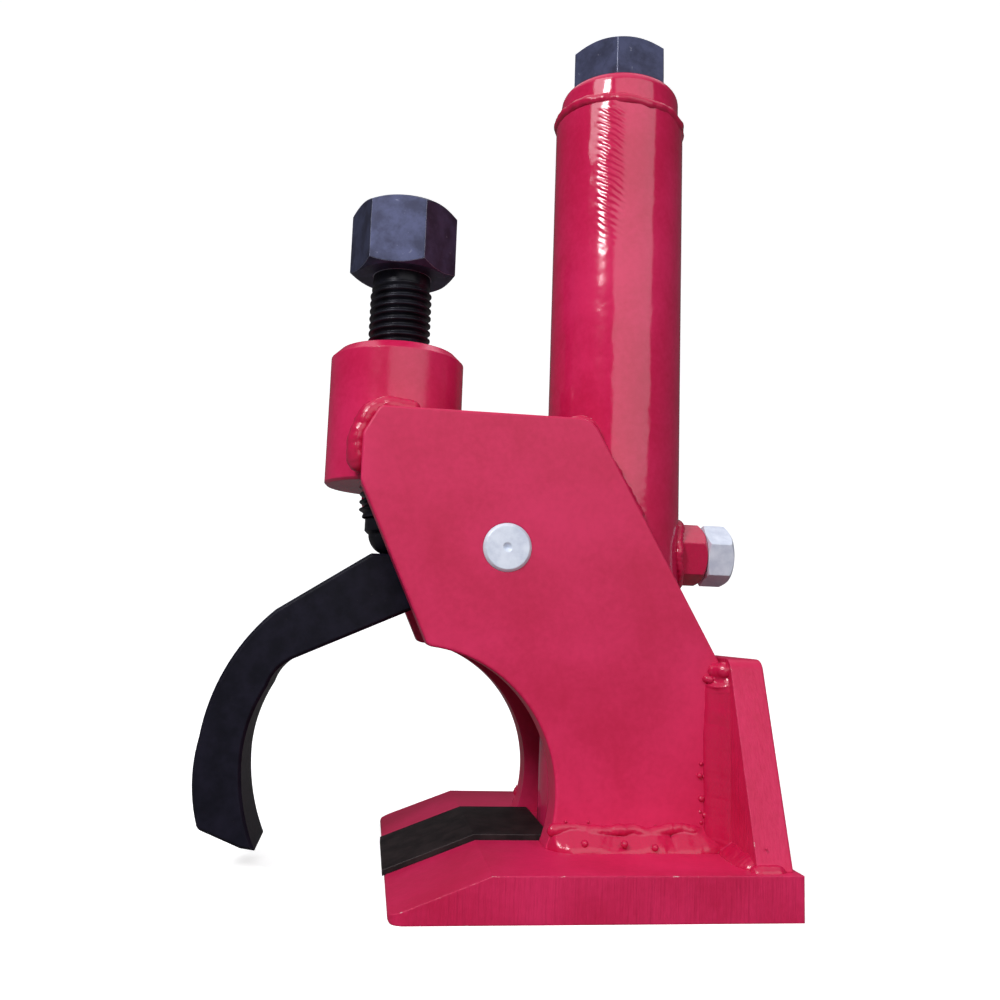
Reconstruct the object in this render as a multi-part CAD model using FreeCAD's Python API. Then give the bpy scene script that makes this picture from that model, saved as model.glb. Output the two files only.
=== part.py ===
"""Portable C-frame screw press with a hook jaw, one STEP file for each piece.

Millimetres, +Z up. X runs from the hook jaw (-X) to the press tube (+X), Y across the frame.
The origin is on the underside of the base plate, in the middle plane, straight below the
hook's pivot pin. Everything stands at rest: ram drawn in, hook jaw half open.
"""
import FreeCAD, Part
import math
import os
from FreeCAD import Vector

# ---------------------------------------------------------------- driving dimensions
# Base plate, with a wedge-shaped nose
BASE_T = 14.0
BASE_W = 144.0
BASE_STEP = 1.5
NOSE_X = -36.5
NOSE_T = 3.0
WEDGE_X = -6.0
NOSE_CORNER_R = 5.0

# Black strip on the nose and in the throat
PAD_W = 50.0
PAD_T = 2.0
PAD_OVERHANG = 0.8
PAD_BEND_SHIFT = 0.4

# Press tube and its cap
TUBE_FRONT_X = 20.5
TUBE_OD = 52.0
TUBE_BORE = 40.0
TUBE_TOP_Z = 292.0
CAP_D = 48.0
CAP_H = 14.5
CAP_SHOULDER_R = 4.5
CAP_SPIGOT_H = 8.0

# Side plates
PLATE_T = 12.0
PLATE_TOP_Z = 162.0
PLATE_FRONT_X = -51.5
PLATE_CHIN_X = -26.0
PLATE_LIP_Z = 135.5
PLATE_CORNER_X = 5.4
PLATE_CORNER_Z = 10.0
PLATE_TOP_BACK_X = 29.2
PLATE_TOP_BACK_R = 9.0
PLATE_BEHIND_TUBE = 5.5
PLATE_SHOULDER_Z = 75.0
PLATE_CORNER_R = 3.0
PLATE_CHIN_R = 2.5
THROAT_X = -29.8
THROAT_Z = 31.0
THROAT_R = 49.0

# Back plate, a trapezoid across the rear of the side plates
BACK_T = 12.0
BACK_TOP_Z = 79.0
BACK_TOP_W = 87.6
BACK_FOOT_W = 136.0
BACK_CORNER_R = 5.0

# Threaded boss and set bolt (M24, coarse thread)
BOLT_X = -40.0
BOSS_GAP = 0.5
BOSS_BOTTOM_Z = 138.0
BOSS_TOP_Z = 190.0
BOSS_CHAMFER = 3.2
BOLT_D = 24.0
BOLT_AF = 36.0
BOLT_HEAD_Z = 221.5
BOLT_HEAD_H = 27.0
BOLT_HEAD_CHAMFER = 2.0
BOLT_TURN_DEG = -8.8

# Hook jaw, its seat under the set bolt, and its pivot
HOOK_T = 32.0
HOOK_EYE_R = 19.0
HOOK_SEAT_Z = 112.0
HOOK_SEAT_FRONT = 6.5
HOOK_SEAT_BACK = 11.0
HOOK_EDGE = 1.0
HOOK_HEEL_R = 3.0
HOOK_CORNER_R = 2.0
PIN_D = 17.0
PIN_Z = 114.5
PIN_PROUD = 1.0
PIN_HEAD_D = 26.0
PIN_HEAD_T = 4.0
PIN_DIMPLE_R = 1.6
BUSHING_WALL = 3.0
SPACER_WALL = 5.5
CLIP_T = 1.2
CLIP_D = 25.0
CLIP_GROOVE = 1.0

# Swivel tip at the end of the set bolt
TIP_D = 19.0
TIP_DOME_R = 8.0
TIP_BODY_H = 5.5
SPIGOT_D = 10.0
SPIGOT_H = 7.0
TIP_EDGE = 1.0

# Drive screw (captive, trapezoidal thread), its thrust bearing and collar
SCREW_D = 24.0
SCREW_AF = 36.0
SCREW_HEAD_H = 17.5
SCREW_HEAD_CHAMFER = 2.2
SCREW_BOTTOM_Z = 122.0
SCREW_TURN_DEG = 12.3
RACE_T = 3.0
BALL_D = 5.0
BALL_COUNT = 16
CAGE_T = 1.6
CAGE_RIM = 0.6
COLLAR_ROOM = 3.0
COLLAR_H = 13.0
COLLAR_PIN_D = 5.0

# Ram, its nut and its foot
RAM_TRAVEL = 60.0
RAM_BOTTOM_Z = 12.0
RAM_TOP_Z = 212.0
RAM_BORE = 27.0
FOOT_T = 9.0
NUT_SPIGOT_D = 32.0
NUT_SPIGOT_H = 24.0
NUT_FLANGE_T = 6.0
NUT_SCREW_D = 4.0
NUT_SCREW_PCD = 35.0
NUT_SCREW_LENGTH = 14.0
FOOT_EDGE_R = 1.5
FOOT_SCREW_D = 10.0
FOOT_SCREW_HEAD_D = 19.0
FOOT_SCREW_HEAD_H = 5.0
FOOT_SCREW_LENGTH = 21.0
FOOT_SCREW_SUNK = 0.5
FOOT_SOCKET_AF = 6.0
FOOT_SOCKET_DEPTH = 4.0

# Guide bolt (M14) that runs in the ram's keyway, and the nut welded to the tube for it
GUIDE_Z = 117.7
GUIDE_D = 14.0
GUIDE_AF = 21.0
GUIDE_NUT_OUT = 10.0
GUIDE_NUT_LAP = 4.0
GUIDE_CHAMFER = 1.6
GUIDE_HEAD_T = 10.5
GUIDE_TURN_DEG = 11.0
DOG_D = 9.8
KEYWAY_DEPTH = 4.5

# Weld beads
BOSS_BEAD = 5.5
BOSS_BEAD_END = 9.0
TUBE_BEAD = 5.5
BASE_BEAD = 7.0
BACK_BEAD = 6.0
CAP_BEAD = 4.0
NUT_BEAD = 2.5
BEAD_LAP = 5.0
TUBE_BEAD_LEAD = 6.0

# Clearances
RUN_CLEAR = 0.06
SIDE_CLEAR = 0.2
SEAT_GAP = 0.4
BALL_CLEAR = 0.02
EDGE_R = 0.9
THREAD_LEAD = 1.8
HEX_FACE = 0.97

# ---------------------------------------------------------------- values that follow from them
PLATE_GAP = TUBE_OD
PLATE_OUT = PLATE_GAP / 2 + PLATE_T
TUBE_X = TUBE_FRONT_X + TUBE_OD / 2
PLATE_BACK_X = TUBE_X + TUBE_OD / 2 + PLATE_BEHIND_TUBE
BASE_BACK_X = PLATE_BACK_X + BACK_T + BASE_STEP
BOSS_D = PLATE_GAP - 2 * BOSS_GAP
COLLAR_D = TUBE_BORE - COLLAR_ROOM
CAP_TOP_Z = TUBE_TOP_Z + CAP_H
SCREW_HEAD_Z = CAP_TOP_Z + SIDE_CLEAR
RACE_TOP_Z = TUBE_TOP_Z - CAP_SPIGOT_H
BALL_Z = RACE_TOP_Z - RACE_T - BALL_D / 2
COLLAR_TOP_Z = BALL_Z - BALL_D / 2 - RACE_T
RAM_R = TUBE_BORE / 2 - RUN_CLEAR
SCREW_HOLE_R = SCREW_D / 2 + RUN_CLEAR
BUSHING_R = PIN_D / 2 + RUN_CLEAR + BUSHING_WALL
TIP_BOTTOM_Z = HOOK_SEAT_Z + SEAT_GAP
TIP_TOP_Z = TIP_BOTTOM_Z + TIP_DOME_R + TIP_BODY_H
GUIDE_NUT_X = TUBE_X + TUBE_OD / 2 + GUIDE_NUT_OUT
FOOT_SCREW_Z = RAM_BOTTOM_Z - FOOT_T + FOOT_SCREW_SUNK


# ---------------------------------------------------------------- helpers
def box(x0, x1, y0, y1, z0, z1):
    """A block between two corners."""
    return Part.makeBox(x1 - x0, y1 - y0, z1 - z0, Vector(x0, y0, z0))


def rod_z(x, z0, z1, r, y=0.0):
    """An upright cylinder."""
    return Part.makeCylinder(r, z1 - z0, Vector(x, y, z0), Vector(0, 0, 1))


def rod_y(x, z, y0, y1, r):
    """A cylinder across the frame."""
    return Part.makeCylinder(r, y1 - y0, Vector(x, y0, z), Vector(0, 1, 0))


def rod_x(x0, x1, y, z, r):
    """A cylinder along the frame."""
    return Part.makeCylinder(r, x1 - x0, Vector(x0, y, z), Vector(1, 0, 0))


def ring_z(x, z0, z1, r_out, r_in):
    """An upright ring."""
    return rod_z(x, z0, z1, r_out).cut(rod_z(x, z0, z1, r_in))


def ring_y(x, z, y0, y1, r_out, r_in):
    """A ring across the frame."""
    return rod_y(x, z, y0, y1, r_out).cut(rod_y(x, z, y0, y1, r_in))


def segment(a, b):
    """A straight edge between two (x, z) points."""
    return Part.makeLine(Vector(a[0], 0, a[1]), Vector(b[0], 0, b[1]))


def arc(a, through, b):
    """A round edge through three (x, z) points."""
    points = [Vector(p[0], 0, p[1]) for p in (a, through, b)]
    return Part.Arc(*points).toShape()


def slab(edges, y0, y1):
    """The closed outline of these edges in XZ, as a slab from y0 to y1."""
    face = Part.Face(Part.Wire(edges))
    face.translate(Vector(0, y0, 0))
    return face.extrude(Vector(0, y1 - y0, 0))


def polygon(points):
    """Straight edges around a closed (x, z) outline."""
    pairs = zip(points, points[1:] + points[:1])
    return [segment(a, b) for a, b in pairs]


def edges_in_planes(shape, axis, values):
    """The edges that lie wholly in one of these planes across an axis (0 is X, 1 is Y, 2 is Z)."""
    chosen = []
    for edge in shape.Edges:
        low = (edge.BoundBox.XMin, edge.BoundBox.YMin, edge.BoundBox.ZMin)[axis]
        high = (edge.BoundBox.XMax, edge.BoundBox.YMax, edge.BoundBox.ZMax)[axis]
        if any(abs(low - v) < 1e-4 and abs(high - v) < 1e-4 for v in values):
            chosen.append(edge)
    return chosen


def edge_at(shape, x, z, reach=0.5):
    """The edges across the frame that pass through one (x, z) point."""
    chosen = []
    for edge in shape.Edges:
        bound = edge.BoundBox
        across = bound.YLength > 1 and bound.XLength < 0.01 and bound.ZLength < 0.01
        if across and math.hypot(bound.Center.x - x, bound.Center.z - z) < reach:
            chosen.append(edge)
    return chosen


def hexagon(centre, direction, across_flats, height, turn_deg, chamfer=(0.0, 0.0)):
    """A hexagonal head. chamfer gives the corner chamfer at its near and far end."""
    corner_r = across_flats / math.sqrt(3)
    corners = []
    for k in range(7):
        angle = math.radians(60 * k + turn_deg)
        corners.append(Vector(corner_r * math.cos(angle), corner_r * math.sin(angle), 0))
    prism = Part.Face(Part.makePolygon(corners)).extrude(Vector(0, 0, height))
    near, far = chamfer
    flat_r = across_flats / 2
    face_r = flat_r * HEX_FACE
    outline = [(0, 0), (corner_r + 1, 0), (corner_r + 1, height), (0, height)]
    if near:
        outline[1:2] = [(face_r, 0), (corner_r, near)]
    if far:
        outline[-2:-1] = [(corner_r, height - far), (face_r, height)]
    limit = Part.Face(Part.Wire(polygon(outline))).revolve(Vector(0, 0, 0), Vector(0, 0, 1), 360)
    head = prism.common(limit)
    turn = FreeCAD.Rotation(Vector(0, 0, 1), direction)
    head.Placement = FreeCAD.Placement(centre, turn)
    return head


def largest(shape):
    """The biggest solid of a shape."""
    return max(shape.Solids, key=lambda s: s.Volume)


def save(node, shapes):
    """Write one node, from one solid or a list of separate solids."""
    solids = shapes if isinstance(shapes, list) else [shapes]
    solids = [largest(s) for s in solids]
    shape = solids[0] if len(solids) == 1 else Part.makeCompound(solids)
    shape.exportStep("parts/" + node + ".step")
    print(node, len(solids), round(sum(s.Volume for s in solids)), all(s.isValid() for s in solids))


# ---------------------------------------------------------------- welded frame
def base_plate():
    """Plate with a wedge nose and the hole that the ram comes out of."""
    tip_x = NOSE_X + NOSE_T / 2
    outline = [
        segment((BASE_BACK_X, 0), (BASE_BACK_X, BASE_T)),
        segment((BASE_BACK_X, BASE_T), (WEDGE_X, BASE_T)),
        segment((WEDGE_X, BASE_T), (tip_x, NOSE_T)),
        arc((tip_x, NOSE_T), (NOSE_X, NOSE_T / 2), (tip_x, 0)),
        segment((tip_x, 0), (BASE_BACK_X, 0)),
    ]
    half = BASE_W / 2
    plate = slab(outline, -half, half)
    plan = box(NOSE_X, BASE_BACK_X, -half, half, -1, BASE_T + 1)
    corners = [e for e in plan.Edges if e.BoundBox.ZLength > BASE_T and e.BoundBox.Center.x < 0]
    plate = plate.common(plan.makeFillet(NOSE_CORNER_R, corners))
    return plate.cut(rod_z(TUBE_X, -1, BASE_T + 1, TUBE_BORE / 2 + SEAT_GAP))


def wedge_height(x):
    """Height of the base plate's upper surface on its wedge."""
    tip_x = NOSE_X + NOSE_T / 2
    return NOSE_T + (BASE_T - NOSE_T) * (x - tip_x) / (WEDGE_X - tip_x)


def base_pad():
    """Bent strip on the wedge and on the floor of the throat."""
    front = NOSE_X - PAD_OVERHANG
    back = TUBE_X - TUBE_OD / 2 - SIDE_CLEAR
    top = BASE_T + PAD_T
    outline = polygon([
        (front, wedge_height(front)),
        (WEDGE_X, BASE_T),
        (back, BASE_T),
        (back, top),
        (WEDGE_X - PAD_BEND_SHIFT, top),
        (front, wedge_height(front) + PAD_T),
    ])
    return slab(outline, -PAD_W / 2, PAD_W / 2)


def side_plate(side):
    """C-shaped flame-cut plate; side is -1 for the front one and 1 for the rear one."""
    foot_x = THROAT_X + math.sqrt(THROAT_R ** 2 - (BASE_T - THROAT_Z) ** 2)
    chin_z = THROAT_Z + math.sqrt(THROAT_R ** 2 - (PLATE_CHIN_X - THROAT_X) ** 2)
    across = math.radians(45)
    throat = (THROAT_X + THROAT_R * math.cos(across), THROAT_Z + THROAT_R * math.sin(across))
    foot = (foot_x, BASE_T)
    chin = (PLATE_CHIN_X, chin_z)
    lip = (PLATE_FRONT_X, PLATE_LIP_Z)
    corner_low = (PLATE_FRONT_X, PLATE_TOP_Z - PLATE_CORNER_Z)
    corner_high = (PLATE_FRONT_X + PLATE_CORNER_X, PLATE_TOP_Z)
    top_back = (PLATE_TOP_BACK_X, PLATE_TOP_Z)
    shoulder = (PLATE_BACK_X, PLATE_SHOULDER_Z)
    heel = (PLATE_BACK_X, BASE_T)
    outline = [
        arc(foot, throat, chin),
        segment(chin, lip),
        segment(lip, corner_low),
        segment(corner_low, corner_high),
        segment(corner_high, top_back),
        segment(top_back, shoulder),
        segment(shoulder, heel),
        segment(heel, foot),
    ]
    inner = PLATE_GAP / 2
    y0, y1 = sorted((side * inner, side * PLATE_OUT))
    plate = slab(outline, y0, y1)
    plate = plate.makeFillet(PLATE_TOP_BACK_R, edge_at(plate, *top_back))
    plate = plate.makeFillet(PLATE_CHIN_R, edge_at(plate, *chin))
    for corner in (corner_low, corner_high, lip):
        plate = plate.makeFillet(PLATE_CORNER_R, edge_at(plate, *corner))
    rims = []
    for edge in edges_in_planes(plate, 1, [side * PLATE_OUT]):
        on_base = edge.BoundBox.ZMax < BASE_T + 0.01
        on_back = edge.BoundBox.XMin > PLATE_BACK_X - 0.01
        if not on_base and not on_back:
            rims.append(edge)
    plate = plate.makeFillet(EDGE_R, rims)
    return plate.cut(rod_y(0, PIN_Z, y0 - 1, y1 + 1, PIN_D / 2 + RUN_CLEAR))


def back_plate():
    """Trapezoid that ties the side plates to the base."""
    half_top = BACK_TOP_W / 2
    half_foot = BACK_FOOT_W / 2
    corners = [(-half_foot, BASE_T), (half_foot, BASE_T), (half_top, BACK_TOP_Z), (-half_top, BACK_TOP_Z)]
    points = [Vector(PLATE_BACK_X, y, z) for y, z in corners]
    face = Part.Face(Part.makePolygon(points + points[:1]))
    plate = face.extrude(Vector(BACK_T, 0, 0))
    top = []
    for edge in plate.Edges:
        if edge.BoundBox.XLength > BACK_T / 2 and edge.BoundBox.ZMin > BACK_TOP_Z - 0.1:
            top.append(edge)
    plate = plate.makeFillet(BACK_CORNER_R, top)
    rims = [e for e in edges_in_planes(plate, 0, [PLATE_BACK_X + BACK_T]) if e.BoundBox.ZMax > BASE_T + 1]
    return plate.makeFillet(EDGE_R, rims)


def bolt_boss():
    """Threaded boss, taken down to the thread's outside diameter plus its running clearance."""
    boss = rod_z(BOLT_X, BOSS_BOTTOM_Z, BOSS_TOP_Z, BOSS_D / 2)
    boss = boss.makeChamfer(BOSS_CHAMFER, edges_in_planes(boss, 2, [BOSS_TOP_Z]))
    boss = boss.makeChamfer(EDGE_R, edges_in_planes(boss, 2, [BOSS_BOTTOM_Z]))
    hole = rod_z(BOLT_X, BOSS_BOTTOM_Z, BOSS_TOP_Z, BOLT_D / 2 + RUN_CLEAR)
    return boss.cut(hole)


def press_tube():
    """Tube that stands on the base and guides the ram."""
    tube = ring_z(TUBE_X, BASE_T, TUBE_TOP_Z, TUBE_OD / 2, TUBE_BORE / 2)
    hole = rod_x(TUBE_X, TUBE_X + TUBE_OD, 0, GUIDE_Z, GUIDE_D / 2 + RUN_CLEAR)
    return tube.cut(hole)


def tube_cap():
    """Cap with a rounded shoulder and a spigot in the tube's bore; the drive screw turns in it."""
    cap = rod_z(TUBE_X, TUBE_TOP_Z, CAP_TOP_Z, CAP_D / 2)
    cap = cap.makeFillet(CAP_SHOULDER_R, edges_in_planes(cap, 2, [CAP_TOP_Z]))
    cap = cap.fuse(rod_z(TUBE_X, RACE_TOP_Z, TUBE_TOP_Z, TUBE_BORE / 2)).removeSplitter()
    return cap.cut(rod_z(TUBE_X, RACE_TOP_Z - 1, CAP_TOP_Z + 1, SCREW_HOLE_R))


# ---------------------------------------------------------------- weld beads
def band(points, outer, side, y_in, y_out):
    """A flat-sided bead between an edge of a side plate and a line outside it."""
    y0, y1 = sorted((side * y_in, side * y_out))
    return slab(polygon(points + outer[::-1]), y0, y1)


def prism_x(corners, x0, x1):
    """A bar along X with this (y, z) section."""
    points = [Vector(x0, y, z) for y, z in corners]
    return Part.Face(Part.makePolygon(points + points[:1])).extrude(Vector(x1 - x0, 0, 0))


def boss_welds():
    """Beads round the top front corner of each side plate, onto the boss."""
    low_z = PLATE_TOP_Z - PLATE_CORNER_Z
    corner_x = PLATE_FRONT_X + PLATE_CORNER_X
    end_x = BOLT_X + BOSS_BEAD_END
    r = BOSS_BEAD
    start_z = PLATE_LIP_Z + PLATE_CORNER_R + 1
    inner = [
        (PLATE_FRONT_X, start_z),
        (PLATE_FRONT_X, low_z),
        (corner_x, PLATE_TOP_Z),
        (end_x, PLATE_TOP_Z),
    ]
    outer = [
        (PLATE_FRONT_X - r, start_z),
        (PLATE_FRONT_X - r, low_z + r / 3),
        (corner_x - r / 2, PLATE_TOP_Z + r),
        (end_x, PLATE_TOP_Z + r),
    ]
    boss = rod_z(BOLT_X, BOSS_BOTTOM_Z, BOSS_TOP_Z, BOSS_D / 2)
    beads = []
    for side in (-1, 1):
        bead = band(inner, outer, side, PLATE_GAP / 2 - BEAD_LAP, PLATE_GAP / 2 + r)
        beads.append(bead.cut(boss))
    return beads


def tube_welds():
    """Beads down the sloping rear edge of each side plate, onto the tube."""
    run = PLATE_BACK_X - PLATE_TOP_BACK_X
    fall = PLATE_TOP_Z - PLATE_SHOULDER_Z
    end_z = GUIDE_Z + TUBE_BEAD_LEAD
    end_x = PLATE_TOP_BACK_X + (PLATE_TOP_Z - end_z) * run / fall
    r = TUBE_BEAD
    start_x = PLATE_TOP_BACK_X - TUBE_BEAD_LEAD
    inner = [(start_x, PLATE_TOP_Z), (PLATE_TOP_BACK_X, PLATE_TOP_Z), (end_x, end_z)]
    outer = [
        (start_x, PLATE_TOP_Z + r),
        (PLATE_TOP_BACK_X + r * 0.6, PLATE_TOP_Z + r),
        (end_x + r, end_z + r * 0.4),
    ]
    tube = rod_z(TUBE_X, BASE_T, TUBE_TOP_Z, TUBE_OD / 2)
    beads = []
    for side in (-1, 1):
        bead = band(inner, outer, side, PLATE_GAP / 2 - BEAD_LAP, PLATE_GAP / 2 + r)
        beads.append(bead.cut(tube))
    return beads


def base_welds():
    """Fillet beads along the foot of each side plate."""
    foot_x = THROAT_X + math.sqrt(THROAT_R ** 2 - (BASE_T - THROAT_Z) ** 2)
    beads = []
    for side in (-1, 1):
        y = side * PLATE_OUT
        section = [(y, BASE_T), (y + side * BASE_BEAD, BASE_T), (y, BASE_T + BASE_BEAD)]
        beads.append(prism_x(section, foot_x, PLATE_BACK_X - BACK_BEAD))
    return beads


def back_plate_welds():
    """Upright and foot beads between the back plate, the side plates and the base."""
    r = BACK_BEAD
    foot = BACK_FOOT_W / 2
    lean = (BACK_FOOT_W - BACK_TOP_W) / 2 / (BACK_TOP_Z - BASE_T)
    beads = []
    for side in (-1, 1):
        y = side * PLATE_OUT
        corners = [(PLATE_BACK_X, y), (PLATE_BACK_X - r, y), (PLATE_BACK_X, y + side * r)]
        points = [Vector(cx, cy, BASE_T) for cx, cy in corners]
        upright = Part.Face(Part.makePolygon(points + points[:1]))
        upright = upright.extrude(Vector(0, 0, PLATE_SHOULDER_Z - BASE_T - 3))
        section = polygon([(PLATE_BACK_X, BASE_T), (PLATE_BACK_X - r, BASE_T), (PLATE_BACK_X, BASE_T + r)])
        y0, y1 = sorted((y, side * (foot - 2 * r * lean)))
        beads.append(upright.fuse(slab(section, y0, y1)).removeSplitter())
        end = [(side * foot, BASE_T), (side * (foot + 0.6 * r), BASE_T), (side * (foot - r * lean), BASE_T + r)]
        beads.append(prism_x(end, PLATE_BACK_X + 1, PLATE_BACK_X + BACK_T - 2))
    return beads


def cap_weld():
    """Ring bead between the end of the tube and the cap."""
    cone = Part.makeCone(TUBE_OD / 2, CAP_D / 2, CAP_BEAD, Vector(TUBE_X, 0, TUBE_TOP_Z), Vector(0, 0, 1))
    return cone.cut(rod_z(TUBE_X, TUBE_TOP_Z, CAP_TOP_Z, CAP_D / 2))


def guide_nut_weld():
    """Ring bead where the guide nut stands on the tube."""
    inner = GUIDE_AF / math.sqrt(3) + BALL_CLEAR
    start = TUBE_X + TUBE_OD / 2 - GUIDE_NUT_LAP
    length = GUIDE_NUT_LAP + NUT_BEAD
    cone = Part.makeCone(inner + length, inner + 0.5, length, Vector(start, 0, GUIDE_Z), Vector(1, 0, 0))
    cone = cone.cut(rod_x(start, start + length, 0, GUIDE_Z, inner))
    return cone.cut(rod_z(TUBE_X, BASE_T, TUBE_TOP_Z, TUBE_OD / 2))


# ---------------------------------------------------------------- guide bolt for the ram
def guide_nut():
    """Hexagonal nut with its inner end cut round to sit on the tube."""
    start = Vector(TUBE_X + TUBE_OD / 2 - GUIDE_NUT_LAP, 0, GUIDE_Z)
    length = GUIDE_NUT_OUT + GUIDE_NUT_LAP
    nut = hexagon(start, Vector(1, 0, 0), GUIDE_AF, length, GUIDE_TURN_DEG, (0.0, GUIDE_CHAMFER))
    nut = nut.cut(rod_z(TUBE_X, BASE_T, TUBE_TOP_Z, TUBE_OD / 2))
    return nut.cut(rod_x(TUBE_X, GUIDE_NUT_X + 1, 0, GUIDE_Z, GUIDE_D / 2 + RUN_CLEAR))


def guide_bolt():
    """Hexagon bolt whose dog point runs in the ram's keyway."""
    head_x = GUIDE_NUT_X + SIDE_CLEAR
    head = hexagon(Vector(head_x, 0, GUIDE_Z), Vector(1, 0, 0), GUIDE_AF, GUIDE_HEAD_T,
                   GUIDE_TURN_DEG, (GUIDE_CHAMFER / 2, GUIDE_CHAMFER))
    shank_x = TUBE_X + TUBE_BORE / 2 + SEAT_GAP
    dog_x = TUBE_X + RAM_R - KEYWAY_DEPTH + SEAT_GAP
    bolt = head.fuse(rod_x(shank_x, head_x, 0, GUIDE_Z, GUIDE_D / 2))
    return bolt.fuse(rod_x(dog_x, shank_x, 0, GUIDE_Z, DOG_D / 2)).removeSplitter()


# ---------------------------------------------------------------- hook pivot
def pivot_pin():
    """Headed pin through both side plates, with a groove for its retaining ring."""
    front = -PLATE_OUT - PIN_PROUD
    head_y = PLATE_OUT + SIDE_CLEAR
    pin = rod_y(0, PIN_Z, front, head_y + PIN_HEAD_T, PIN_D / 2)
    pin = pin.makeChamfer(EDGE_R, edges_in_planes(pin, 1, [front]))
    head = rod_y(0, PIN_Z, head_y, head_y + PIN_HEAD_T, PIN_HEAD_D / 2)
    head = head.makeChamfer(EDGE_R, edges_in_planes(head, 1, [head_y + PIN_HEAD_T]))
    groove_y = -PLATE_GAP / 2 + SIDE_CLEAR
    groove = ring_y(0, PIN_Z, groove_y, groove_y + CLIP_T, PIN_D, PIN_D / 2 - CLIP_GROOVE)
    dimple = Part.makeCone(PIN_DIMPLE_R, 0.0, PIN_DIMPLE_R, Vector(0, front, PIN_Z), Vector(0, 1, 0))
    return pin.fuse(head).removeSplitter().cut(groove).cut(dimple)


def pin_retaining_ring():
    """Split ring in the pin's groove, against the front side plate."""
    y0 = -PLATE_GAP / 2 + SIDE_CLEAR
    ring = ring_y(0, PIN_Z, y0, y0 + CLIP_T, CLIP_D / 2, PIN_D / 2 - CLIP_GROOVE)
    gap = box(-PIN_D / 5, PIN_D / 5, y0 - 1, y0 + CLIP_T + 1, PIN_Z - CLIP_D, PIN_Z)
    return ring.cut(gap)


def spacer(side):
    """Tube on the pin that keeps the hook in the middle of the frame."""
    start = HOOK_T / 2 + SIDE_CLEAR
    end = PLATE_GAP / 2 - SIDE_CLEAR
    if side < 0:
        end -= CLIP_T + SIDE_CLEAR
    y0, y1 = sorted((side * start, side * end))
    inner = PIN_D / 2 + RUN_CLEAR
    return ring_y(0, PIN_Z, y0, y1, inner + SPACER_WALL, inner)


def hook_bushing():
    """Plain bush pressed into the hook's eye."""
    return ring_y(0, PIN_Z, -HOOK_T / 2, HOOK_T / 2, BUSHING_R, PIN_D / 2 + RUN_CLEAR)


def eye_point(angle_deg):
    """A point on the outside of the hook's eye."""
    angle = math.radians(angle_deg)
    return (HOOK_EYE_R * math.cos(angle), PIN_Z + HOOK_EYE_R * math.sin(angle))


def hook_jaw():
    """Hook: eye on the pin, seat under the set bolt, arm forward and down to the tip."""
    seat_front = (BOLT_X - HOOK_SEAT_FRONT, HOOK_SEAT_Z)
    seat_back = (BOLT_X + HOOK_SEAT_BACK, HOOK_SEAT_Z)
    elbow_out = (-79.0, 90.6)
    back_out = (-102.2, 46.0)
    heel_out = (-100.6, 15.0)
    heel_in = (-86.0, 8.8)
    tip = (-81.0, 8.0)
    waist_in = (-87.3, 40.0)
    elbow_low = (-80.3, 63.5)
    elbow_in = (-72.0, 73.4)
    neck_in = eye_point(228)
    neck_out = eye_point(140)
    outline = [
        segment(seat_back, seat_front),
        segment(seat_front, elbow_out),
        arc(elbow_out, (-93.8, 72.0), back_out),
        arc(back_out, (-103.5, 30.5), heel_out),
        segment(heel_out, heel_in),
        segment(heel_in, tip),
        arc(tip, (-86.2, 25.0), waist_in),
        arc(waist_in, (-85.4, 51.5), elbow_low),
        arc(elbow_low, (-77.2, 69.4), elbow_in),
        segment(elbow_in, neck_in),
        arc(neck_in, (HOOK_EYE_R, PIN_Z), neck_out),
        segment(neck_out, seat_back),
    ]
    hook = slab(outline, -HOOK_T / 2, HOOK_T / 2)
    hook = hook.makeFillet(HOOK_HEEL_R, edge_at(hook, *heel_out))
    for corner in (heel_in, seat_front):
        hook = hook.makeFillet(HOOK_CORNER_R, edge_at(hook, *corner))
    rims = edges_in_planes(hook, 1, [-HOOK_T / 2, HOOK_T / 2])
    rims = [edge for edge in rims if edge.BoundBox.XMax < HOOK_EYE_R / 2]
    hook = hook.makeChamfer(HOOK_EDGE, rims)
    return hook.cut(rod_y(0, PIN_Z, -HOOK_T, HOOK_T, BUSHING_R))


# ---------------------------------------------------------------- set bolt
def set_bolt():
    """M24 set bolt with a tall hexagon head and a spigot for its swivel tip."""
    head = hexagon(Vector(BOLT_X, 0, BOLT_HEAD_Z), Vector(0, 0, 1), BOLT_AF, BOLT_HEAD_H,
                   BOLT_TURN_DEG, (BOLT_HEAD_CHAMFER, BOLT_HEAD_CHAMFER))
    shank_z = TIP_TOP_Z + SEAT_GAP
    shank = rod_z(BOLT_X, shank_z, BOLT_HEAD_Z, BOLT_D / 2)
    shank = shank.makeChamfer(THREAD_LEAD, edges_in_planes(shank, 2, [shank_z]))
    spigot = rod_z(BOLT_X, TIP_TOP_Z - SPIGOT_H + SEAT_GAP, shank_z, SPIGOT_D / 2)
    return head.fuse(shank).fuse(spigot).removeSplitter()


def set_bolt_tip():
    """Domed swivel tip that stays still on the hook while the bolt turns in it."""
    centre = Vector(BOLT_X, 0, TIP_BOTTOM_Z + TIP_DOME_R)
    dome = Part.makeSphere(TIP_DOME_R, centre)
    dome = dome.common(rod_z(BOLT_X, TIP_BOTTOM_Z - 1, centre.z, TIP_D))
    body = rod_z(BOLT_X, centre.z, TIP_TOP_Z, TIP_D / 2)
    body = body.makeChamfer(TIP_EDGE, edges_in_planes(body, 2, [centre.z]))
    socket = rod_z(BOLT_X, TIP_TOP_Z - SPIGOT_H, TIP_TOP_Z + 1, SPIGOT_D / 2 + RUN_CLEAR)
    return dome.fuse(body).removeSplitter().cut(socket)


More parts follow.
